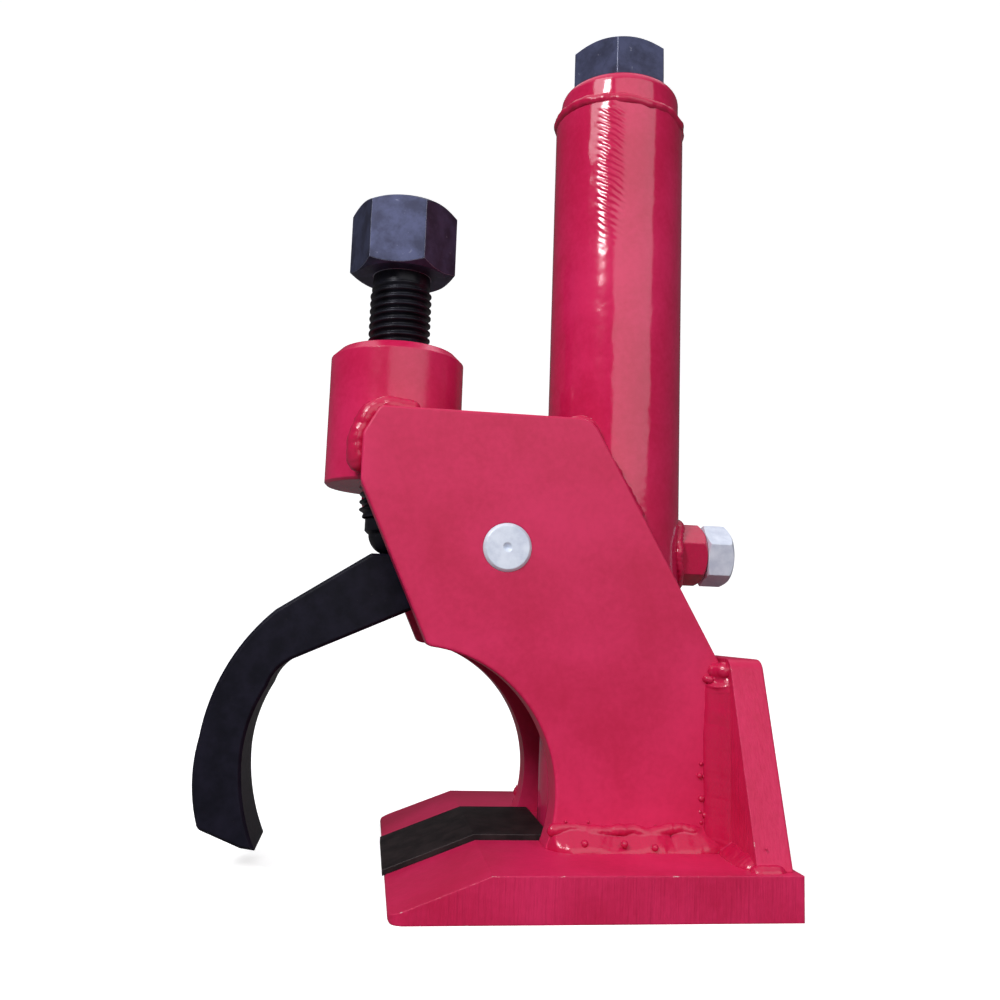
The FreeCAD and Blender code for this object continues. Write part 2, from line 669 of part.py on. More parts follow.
# ---------------------------------------------------------------- drive screw and thrust bearing
def drive_screw():
    """Captive screw: hexagon head on the cap, threaded spindle down into the ram."""
    head = hexagon(Vector(TUBE_X, 0, SCREW_HEAD_Z), Vector(0, 0, 1), SCREW_AF, SCREW_HEAD_H,
                   SCREW_TURN_DEG, (0.0, SCREW_HEAD_CHAMFER))
    spindle = rod_z(TUBE_X, SCREW_BOTTOM_Z, SCREW_HEAD_Z, SCREW_D / 2)
    spindle = spindle.makeChamfer(THREAD_LEAD, edges_in_planes(spindle, 2, [SCREW_BOTTOM_Z]))
    screw = head.fuse(spindle).removeSplitter()
    return screw.cut(collar_pin())


def thrust_race(top_z):
    """Flat thrust race."""
    return ring_z(TUBE_X, top_z - RACE_T, top_z, COLLAR_D / 2, SCREW_D / 2 + SIDE_CLEAR)


def ball_circle_r():
    """Radius of the circle that the balls run on."""
    return (COLLAR_D / 2 + SCREW_D / 2) / 2


def thrust_balls():
    """Ring of bearing balls."""
    balls = []
    for k in range(BALL_COUNT):
        angle = 2 * math.pi * k / BALL_COUNT
        x = TUBE_X + ball_circle_r() * math.cos(angle)
        y = ball_circle_r() * math.sin(angle)
        balls.append(Part.makeSphere(BALL_D / 2 - BALL_CLEAR, Vector(x, y, BALL_Z)))
    return balls


def thrust_cage():
    """Cage that keeps the balls apart."""
    r = ball_circle_r()
    reach = BALL_D / 2 + CAGE_RIM
    cage = ring_z(TUBE_X, BALL_Z - CAGE_T / 2, BALL_Z + CAGE_T / 2, r + reach, r - reach)
    for k in range(BALL_COUNT):
        angle = 2 * math.pi * k / BALL_COUNT
        x = TUBE_X + r * math.cos(angle)
        y = r * math.sin(angle)
        cage = cage.cut(rod_z(x, BALL_Z - CAGE_T, BALL_Z + CAGE_T, BALL_D / 2 + BALL_CLEAR, y))
    return cage


def thrust_collar():
    """Collar pinned to the spindle under the bearing."""
    z0 = COLLAR_TOP_Z - COLLAR_H
    collar = ring_z(TUBE_X, z0, COLLAR_TOP_Z, COLLAR_D / 2, SCREW_D / 2)
    return collar.cut(collar_pin())


def collar_pin():
    """Cross pin through the collar and the spindle."""
    half = COLLAR_D / 2 - SIDE_CLEAR
    return rod_y(TUBE_X, COLLAR_TOP_Z - COLLAR_H / 2, -half, half, COLLAR_PIN_D / 2)


# ---------------------------------------------------------------- ram
def ram():
    """Hollow ram with a keyway for the guide bolt; the drive screw runs up its bore."""
    body = rod_z(TUBE_X, RAM_BOTTOM_Z, RAM_TOP_Z, RAM_R)
    body = body.cut(rod_z(TUBE_X, SCREW_BOTTOM_Z - 5, RAM_TOP_Z + 1, RAM_BORE / 2))
    body = body.cut(rod_z(TUBE_X, RAM_TOP_Z - NUT_SPIGOT_H, RAM_TOP_Z + 1, NUT_SPIGOT_D / 2))
    key_half = DOG_D / 2 + SIDE_CLEAR
    key_bottom = GUIDE_Z - SIDE_CLEAR
    key_top = GUIDE_Z + RAM_TRAVEL + SIDE_CLEAR
    key_x = TUBE_X + RAM_R - KEYWAY_DEPTH
    body = body.cut(box(key_x, TUBE_X + TUBE_OD, -key_half, key_half, key_bottom, key_top))
    for z in (key_bottom, key_top):
        body = body.cut(rod_x(key_x, TUBE_X + TUBE_OD, 0, z, key_half))
    for x, y in nut_screw_places():
        body = body.cut(rod_z(x, RAM_TOP_Z - NUT_SCREW_LENGTH, RAM_TOP_Z + 1, NUT_SCREW_D / 2, y))
    return body.cut(foot_screw_thread())


def nut_screw_places():
    """Axes of the two screws that hold the ram nut."""
    r = NUT_SCREW_PCD / 2
    return [(TUBE_X, -r), (TUBE_X, r)]


def ram_nut():
    """Flanged bronze nut in the top of the ram."""
    nut = rod_z(TUBE_X, RAM_TOP_Z, RAM_TOP_Z + NUT_FLANGE_T, RAM_R - SEAT_GAP)
    nut = nut.fuse(rod_z(TUBE_X, RAM_TOP_Z - NUT_SPIGOT_H, RAM_TOP_Z, NUT_SPIGOT_D / 2))
    nut = nut.removeSplitter()
    top = RAM_TOP_Z + NUT_FLANGE_T + 1
    nut = nut.cut(rod_z(TUBE_X, RAM_TOP_Z - NUT_SPIGOT_H - 1, top, SCREW_HOLE_R))
    for x, y in nut_screw_places():
        nut = nut.cut(rod_z(x, RAM_TOP_Z - NUT_SPIGOT_H - 1, top, NUT_SCREW_D / 2, y))
    return nut


def ram_nut_screws():
    """Headless screws through the flange into the ram."""
    low = RAM_TOP_Z - NUT_SCREW_LENGTH
    high = RAM_TOP_Z + NUT_FLANGE_T - SEAT_GAP
    return [rod_z(x, low, high, NUT_SCREW_D / 2, y) for x, y in nut_screw_places()]


def ram_foot():
    """Hardened foot on the end of the ram."""
    foot = rod_z(TUBE_X, RAM_BOTTOM_Z - FOOT_T, RAM_BOTTOM_Z, RAM_R)
    foot = foot.makeFillet(FOOT_EDGE_R, edges_in_planes(foot, 2, [RAM_BOTTOM_Z - FOOT_T]))
    below = rod_z(TUBE_X, 0, FOOT_SCREW_Z, FOOT_SCREW_HEAD_D / 2)
    return foot.cut(foot_screw_head()).cut(foot_screw_thread()).cut(below)


def foot_screw_head():
    """Countersunk head of the foot screw."""
    start = Vector(TUBE_X, 0, FOOT_SCREW_Z)
    return Part.makeCone(FOOT_SCREW_HEAD_D / 2, FOOT_SCREW_D / 2, FOOT_SCREW_HEAD_H, start, Vector(0, 0, 1))


def foot_screw_thread():
    """Threaded length of the foot screw, which starts inside its head."""
    top = FOOT_SCREW_Z + FOOT_SCREW_HEAD_H + FOOT_SCREW_LENGTH
    return rod_z(TUBE_X, FOOT_SCREW_Z + FOOT_SCREW_HEAD_H / 2, top, FOOT_SCREW_D / 2)


def ram_foot_screw():
    """Countersunk screw with a hexagon socket that holds the foot."""
    screw = foot_screw_head().fuse(foot_screw_thread()).removeSplitter()
    start = Vector(TUBE_X, 0, FOOT_SCREW_Z - 1)
    return screw.cut(hexagon(start, Vector(0, 0, 1), FOOT_SOCKET_AF, FOOT_SOCKET_DEPTH + 1, 0.0))


def main():
    os.makedirs("parts", exist_ok=True)
    solids = {
        "base_plate": base_plate(),
        "base_pad": base_pad(),
        "front_side_plate": side_plate(-1),
        "rear_side_plate": side_plate(1),
        "back_plate": back_plate(),
        "bolt_boss": bolt_boss(),
        "press_tube": press_tube(),
        "tube_cap": tube_cap(),
        "guide_nut": guide_nut(),
        "guide_bolt": guide_bolt(),
        "pivot_pin": pivot_pin(),
        "pin_retaining_ring": pin_retaining_ring(),
        "front_spacer": spacer(-1),
        "rear_spacer": spacer(1),
        "hook_jaw": hook_jaw(),
        "hook_bushing": hook_bushing(),
        "set_bolt": set_bolt(),
        "set_bolt_tip": set_bolt_tip(),
        "drive_screw": drive_screw(),
        "thrust_race_upper": thrust_race(RACE_TOP_Z),
        "thrust_balls": thrust_balls(),
        "thrust_cage": thrust_cage(),
        "thrust_race_lower": thrust_race(COLLAR_TOP_Z + RACE_T),
        "thrust_collar": thrust_collar(),
        "collar_pin": collar_pin(),
        "ram": ram(),
        "ram_nut": ram_nut(),
        "ram_nut_screws": ram_nut_screws(),
        "ram_foot": ram_foot(),
        "ram_foot_screw": ram_foot_screw(),
        "boss_welds": boss_welds(),
        "tube_welds": tube_welds(),
        "base_welds": base_welds(),
        "back_plate_welds": back_plate_welds(),
        "cap_weld": cap_weld(),
        "guide_nut_weld": guide_nut_weld(),
    }
    for node, shape in solids.items():
        save(node, shape)


main()
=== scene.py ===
# %% [markdown]
# # Screw press with a hook jaw
# The press is a welded frame of thick plates with a tube on its back. A hexagon on top of the tube
# drives a ram down to the base, and a second bolt in a boss swings the black hook.
# The packed model gives every piece's place, in metres, +Z up, so this script only adds what the
# plain solids lack: weld beads, threads, paint, plating, wear and light.
# %% The packed model
import math

import bmesh
import bpy
from mathutils import Matrix, Vector


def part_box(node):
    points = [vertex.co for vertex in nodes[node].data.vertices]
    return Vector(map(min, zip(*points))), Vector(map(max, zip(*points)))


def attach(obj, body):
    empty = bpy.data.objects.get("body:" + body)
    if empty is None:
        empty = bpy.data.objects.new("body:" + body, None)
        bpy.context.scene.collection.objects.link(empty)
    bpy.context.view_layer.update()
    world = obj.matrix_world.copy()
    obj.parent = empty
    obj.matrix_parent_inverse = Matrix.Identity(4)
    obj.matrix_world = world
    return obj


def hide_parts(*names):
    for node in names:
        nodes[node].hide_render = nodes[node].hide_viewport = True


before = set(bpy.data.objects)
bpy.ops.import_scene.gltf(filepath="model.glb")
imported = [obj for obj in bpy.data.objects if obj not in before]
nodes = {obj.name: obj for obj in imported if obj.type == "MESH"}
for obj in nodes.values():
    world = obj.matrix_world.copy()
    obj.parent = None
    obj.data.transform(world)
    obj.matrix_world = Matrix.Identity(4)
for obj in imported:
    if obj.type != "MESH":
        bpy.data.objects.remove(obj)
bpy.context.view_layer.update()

MM = 0.001

# %% [markdown]
# ## Camera
# The tool is seen from close by, a little from the left and from below the tube's top, so upright
# edges lean. A camera can be turned by Euler angles, by a track-to constraint, or by writing its
# three axes. The axes are written here: the turn, the tilt and the roll stay separate numbers.
# %% Camera from a turn, a tilt and a roll
EYE = Vector((-47.27, -362.5, 88.06)) * MM
TURN = 0.135
TILT = 0.13
ROLL = -0.035
SENSOR_MM = 36.0
LENS_MM = 34.2
forward = Vector((math.sin(TURN) * math.cos(TILT), math.cos(TURN) * math.cos(TILT), math.sin(TILT)))
level = Vector((math.cos(TURN), -math.sin(TURN), 0))
down = forward.cross(level)
right = level * math.cos(ROLL) + down * math.sin(ROLL)
up = level * math.sin(ROLL) - down * math.cos(ROLL)
camera = bpy.data.objects.new("camera", bpy.data.cameras.new("camera"))
bpy.context.scene.collection.objects.link(camera)
camera.matrix_world = Matrix.Translation(EYE) @ Matrix((right, up, -forward)).transposed().to_4x4()
camera.data.sensor_width = SENSOR_MM
camera.data.lens = LENS_MM
camera.data.clip_start = 0.01
bpy.context.scene.camera = camera
print("camera", [round(v, 4) for v in EYE], "lens", camera.data.lens)

# %% [markdown]
# ## Sums on sockets
# A material is a graph of nodes, and long graphs are hard to read when each sum is three lines.
# One small class holds a socket and overloads the operators, so that `1 - mask * 0.5` adds its own
# Math nodes. Every other node comes from one method, `node`. The same class also serves the
# Geometry Nodes trees further down, because Math nodes are the same there.
# %% A socket that can be added, multiplied and compared
class Socket:
    """One output in a node tree."""

    def __init__(self, tree, output):
        self.tree = tree
        self.output = output

    def node(self, kind, inputs, out=0, stops=None, **settings):
        """Add a node of another kind. Settings come first, then inputs by name or place."""
        made = self.tree.nodes.new(kind)
        for name, value in settings.items():
            setattr(made, name, value)
        if stops:
            ramp = made.color_ramp.elements
            while len(ramp) < len(stops):
                ramp.new(0.5)
            for element, (place, shade) in zip(ramp, stops):
                element.position = place
                element.color = shade if isinstance(shade, tuple) else (shade, shade, shade, 1)
        for key, value in inputs.items():
            if isinstance(value, Socket):
                self.tree.links.new(value.output, made.inputs[key])
            else:
                made.inputs[key].default_value = value
        return Socket(self.tree, made.outputs[out])

    def math(self, operation, *others):
        """A Math node on this socket and the others."""
        return self.node("ShaderNodeMath", dict(enumerate((self,) + others)), operation=operation)

    def __add__(self, other):
        return self.math("ADD", other)

    __radd__ = __add__

    def __mul__(self, other):
        return self.math("MULTIPLY", other)

    __rmul__ = __mul__

    def __sub__(self, other):
        return self.math("SUBTRACT", other)

    def __rsub__(self, other):
        return self.math("MULTIPLY_ADD", -1.0, other)

    def __truediv__(self, other):
        return self.math("DIVIDE", other)

    def __rtruediv__(self, other):
        return self.math("POWER", -1.0) * other

    def step(self, low, high):
        """0 below low, 1 above high, smooth between."""
        return self.node("ShaderNodeMapRange", {0: self, 1: low, 2: high},
                         interpolation_type="SMOOTHSTEP")

    def noise(self, size_mm, detail=3.0, rough=0.5, stretch=(1, 1, 1), kind="ShaderNodeTexNoise"):
        """Noise from 0 to 1 with features of this size, on a place in metres."""
        place = self.node("ShaderNodeMapping", {"Vector": self, "Scale": stretch})
        return place.node(kind, {"Vector": place, "Scale": 1 / (size_mm * MM), "Detail": detail,
                                 "Roughness": rough})

    def parts(self):
        """The three numbers of a vector."""
        split = self.tree.nodes.new("ShaderNodeSeparateXYZ")
        self.tree.links.new(self.output, split.inputs[0])
        return [Socket(self.tree, out) for out in split.outputs]

    def tint(self, first, second):
        """Colour that goes from first to second as this number goes from 0 to 1."""
        return self.node("ShaderNodeMix", {0: self, 6: first, 7: second}, 2, data_type="RGBA")


print("socket class with", len([name for name in vars(Socket) if name[0] != "_"]), "named methods")

# %% [markdown]
# ## One surface for every finish
# A finish is a Principled shader. What is the same all over it is set on the shader's own sockets.
# What varies, such as colour, roughness and bumps, is worked out from the place on the object.
# Worn edges need to know where the edges are: the Bevel node gives a rounded normal there, and
# where that differs from the true normal, the paint is thin.
# %% Material helper
def finish(name, **constants):
    """A new material, its shader, the place on the object in metres, and the true normal."""
    material = bpy.data.materials.new(name)
    material.use_nodes = True
    tree = material.node_tree
    shader = tree.nodes["Principled BSDF"]
    for key, value in constants.items():
        shader.inputs[key.replace("_", " ")].default_value = value
    coords = tree.nodes.new("ShaderNodeTexCoord")
    place = Socket(tree, coords.outputs["Object"])
    geometry = tree.nodes.new("ShaderNodeNewGeometry")
    normal = Socket(tree, geometry.outputs["Normal"])
    return material, shader, place, normal


def rounded(place, radius_mm):
    """Normal rounded over the edges by this radius."""
    return place.node("ShaderNodeBevel", {"Radius": radius_mm * MM}, samples=6)


def edge_mask(normal, soft):
    """1 on an edge, 0 on a flat."""
    likeness = soft.node("ShaderNodeVectorMath", {0: soft, 1: normal}, 1, operation="DOT_PRODUCT")
    return 1 - likeness


def feed(shader, **values):
    """Link varying values into the shader's sockets."""
    for key, value in values.items():
        value.tree.links.new(value.output, shader.inputs[key.replace("_", " ")])


def bumps(heights, normal=None):
    """Bump nodes in a row, from (height socket, depth in mm) pairs."""
    for height, depth in heights:
        inputs = {"Height": height, "Distance": depth * MM, "Strength": 1.0}
        if normal is not None:
            inputs["Normal"] = normal
        normal = height.node("ShaderNodeBump", inputs)
    return normal


print("helpers ready")

# %% [markdown]
# ## Crimson enamel
# The frame is sprayed with one thick coat of crimson enamel over flame-cut plate and turned tube.
# Its gloss could come from a clear coat over a duller base, but the shader's coat doesn't follow
# bumps that are linked to Normal, and here the ridges and waves have to bend the streaks of the
# lamps. So the base itself carries the gloss. Five versions differ in gloss and in what lies under
# the paint: rolled plate, the smoother boss, sawn base edges, turned tube and weld metal.
# %% Enamel, with what shows through it
CRIMSON = (0.70, 0.022, 0.115, 1)
CRIMSON_DEEP = (0.55, 0.010, 0.068, 1)
CRIMSON_PALE = (0.72, 0.045, 0.140, 1)
BARE_EDGE = (0.75, 0.55, 0.55, 1)


def enamel(name, under, haze, gloss, wave_mm=0.05, peel_mm=0.012, chips=0.0, painted_shade=0.0):
    """Enamel over a surface whose own marks are the pairs that under(place, normal) returns."""
    material, shader, place, normal = finish(name, Specular_IOR_Level=gloss)
    soft = rounded(place, 0.7)
    edge = edge_mask(normal, soft).step(0.02, 0.16)
    cloud = place.noise(38, 4, 0.55)
    mottle = place.noise(2.2, 3, 0.6)
    # The number taken off the tone here is a painted shade: it pulls the colour toward the deep crimson,
    # and only the weld enamel sets it.
    colour = (cloud * 0.75 + mottle * 0.25 - painted_shade).step(0.3, 0.7).tint(CRIMSON_DEEP, CRIMSON)
    colour = (edge * 0.5).tint(colour, CRIMSON_PALE)
    if chips:
        spots = place.noise(5, 5, 0.7).step(0.66 - chips, 0.70 - chips) * edge
        colour = spots.tint(colour, BARE_EDGE)
    peel = place.noise(1.3, 2, 0.4)
    wave = place.noise(11, 2, 0.5)
    heights = [(wave, wave_mm), (peel, peel_mm)] + under(place, normal)
    feed(shader, Base_Color=colour, Roughness=haze + cloud * 0.1, Normal=bumps(heights, soft))
    return material


def rolled_plate(place, normal):
    """Fine pits of hot-rolled plate."""
    return [(place.noise(0.7, 4, 0.7), 0.02)]


RIDGE_GAP = 2.7 * MM
RIDGE_SLANT = 0.7
RIDGE_DEPTH_MM = 0.080
RIDGES_START = (0.228, 0.262)
RIDGES_END = (0.286, 0.292)
RIDGES_X = 0.0380
RIDGES_FADE = (0.003, 0.0065)


def turned_tube(place, normal):
    """Ridges left by the lathe, a little over 2 mm apart and uneven, in one upright band."""
    x, _, z = place.parts()
    wobble = place.noise(8, 2, 0.5)
    ridge = ((z + x * RIDGE_SLANT) * (2 * math.pi / RIDGE_GAP) + wobble * 6).math("SINE")
    upper = z.step(*RIDGES_START) * (1 - z.step(*RIDGES_END))
    front = 1 - (x - RIDGES_X).math("ABSOLUTE").step(*RIDGES_FADE)
    return [(ridge * upper * front, RIDGE_DEPTH_MM)]


def sawn_edge(place, normal):
    """Upright drag lines of the cutting torch on the plate's edges only."""
    upright = 1 - normal.parts()[2].math("ABSOLUTE").step(0.2, 0.5)
    lines = place.noise(1.3, 3, 0.6, stretch=(1, 1, 0.06))
    return [(place.noise(0.7, 4, 0.7), 0.02), (lines * upright, 0.55)]


def weld_metal(place, normal):
    """Small lumps on the ripples."""
    return [(place.noise(2.6, 4, 0.6), 0.16)]


red_plate = enamel("frame_enamel", rolled_plate, haze=0.36, gloss=0.36)
red_boss = enamel("boss_enamel", rolled_plate, haze=0.16, gloss=0.5, wave_mm=0.16)
red_base = enamel("base_enamel", sawn_edge, haze=0.38, gloss=0.30, chips=0.05)
red_tube = enamel("tube_enamel", turned_tube, haze=0.07, gloss=0.6, wave_mm=0.32)
# The weld enamel is painted darker, a painted shade for beads that lie in the shaded corners; the guide
# nut and the spatter share it.
red_weld = enamel("weld_enamel", weld_metal, haze=0.12, gloss=0.5, wave_mm=0.12, painted_shade=0.3)
print("enamels", [made.name for made in (red_plate, red_boss, red_base, red_tube, red_weld)])

# %% [markdown]
# ## Black paint, black oxide, zinc, steel, bronze and rubber
# The hook is brushed with black paint that looks blue where it mirrors the room. The two large
# hexagons are blackened by an oxide bath: their flats carry fine marks and their corners have
# rubbed bright. The pin and the guide bolt are zinc plated, which mottles in cloudy grains. The
# hidden works are ground steel and bronze, and the pad on the base is rubber with lighter edges,
# partly worn and partly a painted highlight. Each could have a graph of its own, but all are a
# cloudy colour, a fine grain and lighter edges, so one helper makes them with other numbers.
# %% Metals and rubber
def worn_metal(name, dark, light, worn_and_highlight, edge_from, edge_to, rough, grain_mm, metallic,
               stretch=(1, 1, 1), shine=0.5):
    """Metal or paint with cloudy colour, fine grain and rubbed edges; on the rubber pad the light edges
    are partly a painted highlight.
    """
    material, shader, place, normal = finish(name, Metallic=metallic, Specular_IOR_Level=shine)
    soft = rounded(place, 0.6)
    edge = edge_mask(normal, soft)
    grain = place.noise(grain_mm, 4, 0.65, stretch)
    cloud = place.noise(7, 4, 0.6)
    scuff = place.noise(3.2, 5, 0.7).step(0.64, 0.74)
    rub_and_highlight = (edge * (0.6 + cloud)).step(edge_from, edge_to)
    colour = cloud.step(0.3, 0.7).tint(dark, light)
    colour = (scuff * 0.25).math("MAXIMUM", rub_and_highlight).tint(colour, worn_and_highlight)
    roughness = rough + grain * 0.16 - rub_and_highlight * 0.08
    feed(shader, Base_Color=colour, Roughness=roughness,
         Normal=bumps([(cloud, 0.03), (grain, 0.02)], soft))
    return material


# The blue in the hook's two colours is a painted reflection of the room; the paint itself is black.
hook_paint = worn_metal(
    "hook_paint", (0.004, 0.004, 0.009, 1), (0.010, 0.009, 0.019, 1), (0.10, 0.085, 0.075, 1),
    edge_from=0.14, edge_to=0.40, rough=0.36, grain_mm=1.2, metallic=0.0, shine=0.14)
oxide = worn_metal(
    "black_oxide", (0.038, 0.041, 0.078, 1), (0.072, 0.080, 0.155, 1), (0.55, 0.58, 0.70, 1),
    edge_from=0.07, edge_to=0.24, rough=0.36, grain_mm=0.5, metallic=0.6, stretch=(1, 1, 0.35),
    shine=0.3)
thread_oxide = worn_metal(
    "thread_oxide", (0.006, 0.006, 0.010, 1), (0.018, 0.018, 0.028, 1), (0.12, 0.12, 0.15, 1),
    edge_from=0.25, edge_to=0.60, rough=0.26, grain_mm=0.4, metallic=0.3, shine=0.3)
zinc = worn_metal(
    "zinc_plate", (0.60, 0.66, 0.80, 1), (0.80, 0.86, 0.98, 1), (0.85, 0.88, 0.95, 1),
    edge_from=0.1, edge_to=0.3, rough=0.34, grain_mm=0.8, metallic=0.2)
steel = worn_metal(
    "ground_steel", (0.36, 0.36, 0.37, 1), (0.52, 0.52, 0.53, 1), (0.6, 0.6, 0.6, 1),
    edge_from=0.1, edge_to=0.3, rough=0.24, grain_mm=0.3, metallic=1.0, stretch=(1, 1, 0.2))
bronze = worn_metal(
    "bearing_bronze", (0.42, 0.27, 0.11, 1), (0.60, 0.41, 0.20, 1), (0.7, 0.5, 0.3, 1),
    edge_from=0.1, edge_to=0.3, rough=0.28, grain_mm=0.5, metallic=1.0)
# On the rubber pad the low edge thresholds make the edges light: partly wear, partly a painted highlight
# of the pad's edge.
rubber = worn_metal(
    "rubber_wear_and_painted_highlight", (0.010, 0.007, 0.008, 1), (0.026, 0.018, 0.019, 1), (0.07, 0.06, 0.062, 1),
    edge_from=0.04, edge_to=0.16, rough=0.60, grain_mm=0.9, metallic=0.0, shine=0.16)

FINISHES = {
    red_plate: ["front_side_plate", "rear_side_plate"],
    red_boss: ["bolt_boss"],
    red_base: ["base_plate", "back_plate"],
    red_tube: ["press_tube", "tube_cap"],
    red_weld: ["guide_nut"],
    hook_paint: ["hook_jaw"],
    oxide: ["drive_screw"],
    zinc: ["pivot_pin", "guide_bolt"],
    thread_oxide: ["set_bolt_tip", "pin_retaining_ring"],
    steel: ["front_spacer", "rear_spacer", "thrust_race_upper",
            "thrust_balls", "thrust_race_lower", "thrust_collar", "collar_pin", "ram",
            "ram_nut_screws", "ram_foot", "ram_foot_screw"],
    bronze: ["hook_bushing", "thrust_cage", "ram_nut"],
    rubber: ["base_pad"],
}
for material, names in FINISHES.items():
    for name in names:
        slots = nodes[name].data.materials
        slots.clear()
        slots.append(material)
print("finishes", len(FINISHES), "on", sum(len(n) for n in FINISHES.values()), "solids")

# %% [markdown]
# ## Recipes for what repeats
# A weld bead is a swept tube with a new ripple every couple of millimetres. A thread is one profile
# wound up a cylinder. Spatter is the same small ball, many times. Each could be modelled by hand or
# placed with modifiers, but one Geometry Nodes recipe per kind keeps the sizes as named inputs, so
# every bead on the frame comes from the same tree with other numbers.
# %% How a recipe is built and run
FLOAT = "NodeSocketFloat"
COUNT = "NodeSocketInt"


def recipe(name, sizes):
    """A new Geometry Nodes tree with these named inputs."""
    tree = bpy.data.node_groups.new(name, "GeometryNodeTree")
    tree.interface.new_socket("Shape", in_out="INPUT", socket_type="NodeSocketGeometry")
    for label, kind in sizes.items():
        tree.interface.new_socket(label, in_out="INPUT", socket_type=kind)
    tree.interface.new_socket("Finish", in_out="INPUT", socket_type="NodeSocketMaterial")
    tree.interface.new_socket("Shape", in_out="OUTPUT", socket_type="NodeSocketGeometry")
    entry = tree.nodes.new("NodeGroupInput")
    return tree, {out.name: Socket(tree, out) for out in entry.outputs if out.name}


def close(tree, shape, given):
    """End the tree: smooth, real geometry with its finish."""
    shape = shape.node("GeometryNodeSetShadeSmooth", {"Geometry": shape})
    shape = shape.node("GeometryNodeRealizeInstances", {"Geometry": shape})
    shape = shape.node("GeometryNodeSetMaterial", {"Geometry": shape, "Material": given["Finish"]})
    leave = tree.nodes.new("NodeGroupOutput")
    tree.links.new(shape.output, leave.inputs[0])


def polyline(points, closed=False):
    """A mesh of edges through these points, given in millimetres."""
    mesh = bpy.data.meshes.new("line")
    edges = [(k, k + 1) for k in range(len(points) - 1)]
    if closed:
        edges.append((len(points) - 1, 0))
    mesh.from_pydata([Vector(p) * MM for p in points], edges, [])
    return mesh


def run(tree, mesh, material, sizes):
    """Apply a recipe to a mesh and return the result as a plain mesh."""
    source = bpy.data.objects.new("source", mesh)
    bpy.context.scene.collection.objects.link(source)
    modifier = source.modifiers.new("recipe", "NODES")
    modifier.node_group = tree
    sizes = dict(sizes, Finish=material)
    for item in tree.interface.items_tree:
        if item.in_out == "INPUT" and item.name in sizes:
            modifier[item.identifier] = sizes[item.name]
    graph = bpy.context.evaluated_depsgraph_get()
    made = bpy.data.meshes.new_from_object(source.evaluated_get(graph), depsgraph=graph)
    source.modifiers.clear()
    bpy.data.objects.remove(source)
    return made


def piece(name, meshes, body, replaces=()):
    """Join meshes into one object that rides on a body."""
    whole = bmesh.new()
    materials = []
    for mesh in meshes:
        for material in mesh.materials:
            if material not in materials:
                materials.append(material)
        place = [materials.index(material) for material in mesh.materials]
        first = len(whole.faces)
        whole.from_mesh(mesh)
        whole.faces.ensure_lookup_table()
        for face in whole.faces[first:]:
            face.material_index = place[face.material_index]
    joined = bpy.data.meshes.new(name)
    whole.to_mesh(joined)
    whole.free()
    for material in materials:
        joined.materials.append(material)
    made = bpy.data.objects.new(name, joined)
    bpy.context.scene.collection.objects.link(made)
    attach(made, body)
    if replaces:
        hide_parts(*replaces)
    print(name, "faces", len(joined.polygons), "on", body)
    return made


print("recipe inputs are", FLOAT, "or", COUNT)

# %% [markdown]
# ## Weld beads
# The welder left a bead in each corner of the frame, and the enamel flows over its ripples. A
# displaced fillet or a row of squashed balls would do, but a swept circle pushed out along its
# normals stays one closed skin. The ripples bend back along the bead's crown as real ones do,
# because the distance along the path is shifted by the place around the circle.
# %% The bead recipe
POINTS_A_RIPPLE = 6
BEAD_SIDES = 18
DRIFTS_A_METRE = 120.0
CROWN_BEND = 0.35
bead_tree, given = recipe("weld_bead", {
    "Radius": FLOAT, "Pitch": FLOAT, "Ripple": FLOAT, "Lumps": FLOAT, "Lump size": FLOAT,
    "Wander": FLOAT, "Hollow": FLOAT, "Toward": "NodeSocketVector", "Round": FLOAT, "Seed": FLOAT})
line = given["Shape"].node("GeometryNodeMeshToCurve", {"Mesh": given["Shape"]})
line = line.node("GeometryNodeCurveSplineType", {"Curve": line}, spline_type="CATMULL_ROM")
line = line.node("GeometryNodeResampleCurve",
                 {"Curve": line, "Length": given["Pitch"] / POINTS_A_RIPPLE}, mode="LENGTH")
spot = line.node("GeometryNodeInputPosition", {})
drift = spot.node("ShaderNodeTexNoise", {"Vector": spot, "W": given["Seed"], "Detail": 1.0,
                                         "Scale": DRIFTS_A_METRE}, 1, noise_dimensions="4D")
drift = drift.node("ShaderNodeVectorMath", {0: drift, 1: (0.5, 0.5, 0.5)}, operation="SUBTRACT")
drift = drift.node("ShaderNodeVectorMath", {0: drift, "Scale": given["Wander"]}, operation="SCALE")
line = line.node("GeometryNodeSetPosition", {"Geometry": line, "Offset": drift})
along = line.node("GeometryNodeSplineParameter", {}, 1)
line = line.node("GeometryNodeStoreNamedAttribute", {"Geometry": line, "Name": "along", "Value": along},
                 data_type="FLOAT", domain="POINT")
length = line.node("GeometryNodeSplineLength", {}, 0)
inward = (along.math("MINIMUM", length - along) / (given["Radius"] * 1.3)).math("MINIMUM", 1.0)
swell = (1.04 - (1 - inward) * (1 - inward)).math("SQRT").math("MINIMUM", 1.0)
swell = 1 - (1 - swell) * given["Round"]
ring = line.node("GeometryNodeCurvePrimitiveCircle",
                 {"Resolution": BEAD_SIDES, "Radius": given["Radius"]})
turn = line.node("GeometryNodeSplineParameter", {}, 0)
ring = ring.node("GeometryNodeStoreNamedAttribute", {"Geometry": ring, "Name": "turn", "Value": turn},
                 data_type="FLOAT", domain="POINT")
bead = line.node("GeometryNodeCurveToMesh", {
    "Curve": line, "Profile Curve": ring, "Scale": swell, "Fill Caps": True})
along = bead.node("GeometryNodeInputNamedAttribute", {"Name": "along"}, data_type="FLOAT")
turn = bead.node("GeometryNodeInputNamedAttribute", {"Name": "turn"}, data_type="FLOAT")
phase = along / given["Pitch"] + (turn * (2 * math.pi)).math("COSINE") * CROWN_BEND
